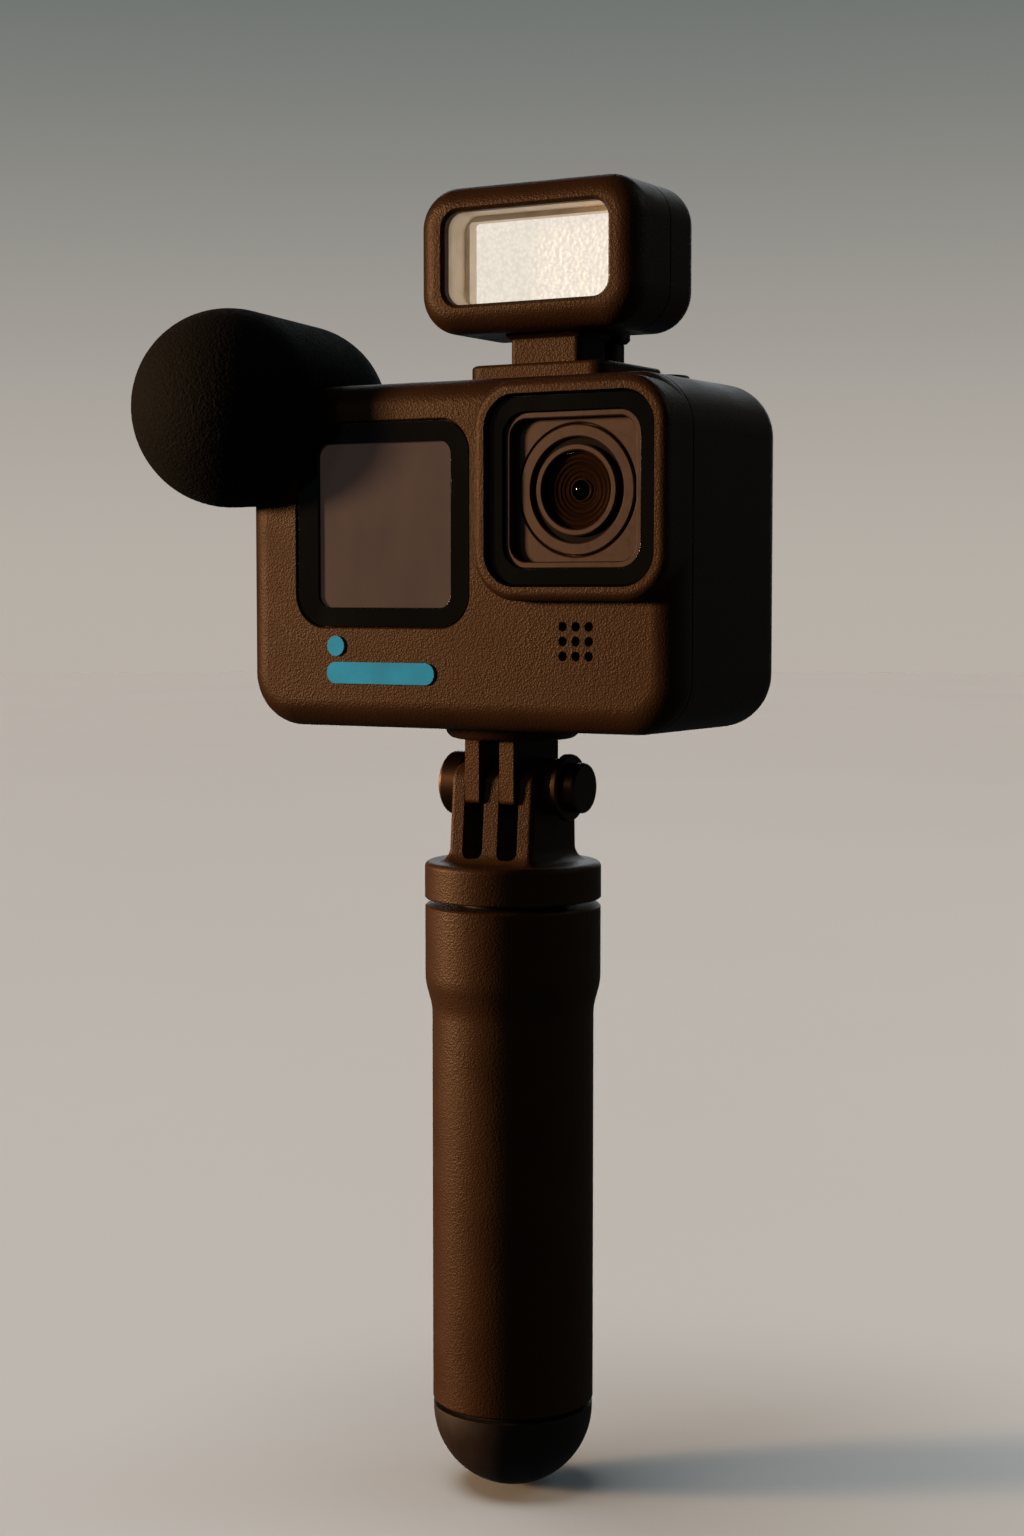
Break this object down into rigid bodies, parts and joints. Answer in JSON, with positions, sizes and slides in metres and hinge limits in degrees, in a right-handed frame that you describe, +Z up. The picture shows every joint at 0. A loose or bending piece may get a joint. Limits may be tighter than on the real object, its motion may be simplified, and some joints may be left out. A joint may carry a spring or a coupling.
{
  "type": "action camera",
  "caption": "Small box-shaped action camera on a telescoping hand grip, with a tilting pivot, a foam-covered microphone and a clip-on video light.",
  "frame": {"origin": "middle of the straight barrel of the hand grip, on its axis", "axes": "+Z up along the grip, -Y the way the lens looks, +X towards the lens side of the front face"},
  "size_m": [0.0899, 0.0535, 0.1968],
  "materials": {
    "casing": "fine pebbled, satin",
    "grip_plastic": "fine pebbled, satin",
    "end_rubber": "smooth matt",
    "gloss_black": "polished",
    "display": "satin screen, off",
    "lens_bronze": "satin bronze-grey",
    "lens_black": "satin black",
    "lens_glass": "coated glass",
    "steel": "machined",
    "dark_steel": "blackened steel",
    "pole_aluminium": "dark anodised",
    "bush_nylon": "moulded",
    "board": "solder mask",
    "chassis_aluminium": "milled",
    "cell": "printed wrap without text",
    "card": "moulded",
    "blue_mark": "satin paint",
    "seal_rubber": "moulded silicone",
    "foam": "open-cell foam",
    "light_cover": "clear",
    "light_white": "white",
    "light_panel": "pebbled diffuser, lit"
  },
  "bodies": {
    "handle": {"handle_shell": "grip_plastic", "handle_bush": "bush_nylon", "end_plug": "bush_nylon", "end_cap": "end_rubber"},
    "mid_pole": {"mid_tube": "pole_aluminium", "mid_slider": "bush_nylon", "mid_bush": "bush_nylon"},
    "head": {"inner_tube": "pole_aluminium", "inner_slider": "bush_nylon", "pole_head": "grip_plastic", "pivot_bolt": "dark_steel"},
    "clamp_knob": {"clamp_knob": "dark_steel"},
    "camera": {"front_shell": "casing", "rear_shell": "casing", "front_window": "gloss_black", "front_display": "display", "rear_window": "gloss_black", "rear_display": "display", "badge": "blue_mark", "lens_frame": "gloss_black", "lens_surround": "lens_bronze", "lens_ring": "lens_bronze", "lens_barrel": "lens_bronze", "front_element": "lens_glass", "lens_baffle": "lens_black", "inner_element": "lens_glass", "rear_element": "lens_glass", "chassis": "chassis_aluminium", "main_board": "board", "sensor_board": "board", "image_sensor": "lens_black", "speaker": "lens_black", "usb_port": "steel", "memory_card": "card", "battery": "cell", "case_screws": "steel", "door_pin": "steel", "mount_fingers": "grip_plastic", "mount_screws": "dark_steel", "mic_arm": "casing", "mic_barrel": "dark_steel", "mic_capsule": "steel", "shoe_plate": "casing", "shoe_screws": "dark_steel"},
    "battery_door": {"battery_door": "casing", "door_seal": "seal_rubber"},
    "door_latch": {"door_latch": "casing"},
    "shutter_button": {"shutter_button": "casing"},
    "mode_button": {"mode_button": "casing"},
    "windscreen": {"windscreen": "foam"},
    "light": {"light_front": "casing", "light_rear": "casing", "light_window": "light_cover", "light_reflector": "light_white", "light_diffuser": "light_panel", "light_board": "board", "light_battery": "cell", "light_screws": "dark_steel", "light_foot": "casing"},
    "light_button": {"light_button": "casing"}
  },
  "joints": [
    {"name": "mid_pole_slide", "type": "slide", "parent": "handle", "child": "mid_pole", "axis": [0, 0, 1], "range_m": [0, 0.045]},
    {"name": "head_slide", "type": "slide", "parent": "mid_pole", "child": "head", "axis": [0, 0, 1], "range_m": [0, 0.045]},
    {"name": "knob_turn", "type": "hinge", "parent": "head", "child": "clamp_knob", "pos_m": [0.0105, 0, 0.0649], "axis": [1, 0, 0], "continuous": true},
    {"name": "camera_tilt", "type": "hinge", "parent": "head", "child": "camera", "pos_m": [0, 0, 0.0649], "axis": [1, 0, 0], "range_deg": [-65, 65]},
    {"name": "door_open", "type": "hinge", "parent": "camera", "child": "battery_door", "pos_m": [-0.0357, 0.00075, 0.079], "axis": [0, -1, 0], "range_deg": [0, 95]},
    {"name": "latch_slide", "type": "slide", "parent": "battery_door", "child": "door_latch", "axis": [0, 0, -1], "range_m": [0, 0.002], "stiffness_N_per_m": 150, "springref_m": -0.001},
    {"name": "shutter_press", "type": "slide", "parent": "camera", "child": "shutter_button", "axis": [0, 0, -1], "range_m": [0, 0.0005], "stiffness_N_per_m": 400, "springref_m": -0.001},
    {"name": "mode_press", "type": "slide", "parent": "camera", "child": "mode_button", "axis": [0, 0, -1], "range_m": [0, 0.0005], "stiffness_N_per_m": 400, "springref_m": -0.001},
    {"name": "windscreen_pull", "type": "slide", "parent": "camera", "child": "windscreen", "axis": [0, -1, 0], "range_m": [0, 0.03]},
    {"name": "light_slide", "type": "slide", "parent": "camera", "child": "light", "axis": [0, 1, 0], "range_m": [0, 0.022]},
    {"name": "light_press", "type": "slide", "parent": "light", "child": "light_button", "axis": [0, -1, 0], "range_m": [0, 0.0004], "stiffness_N_per_m": 400, "springref_m": -0.001}
  ]
}
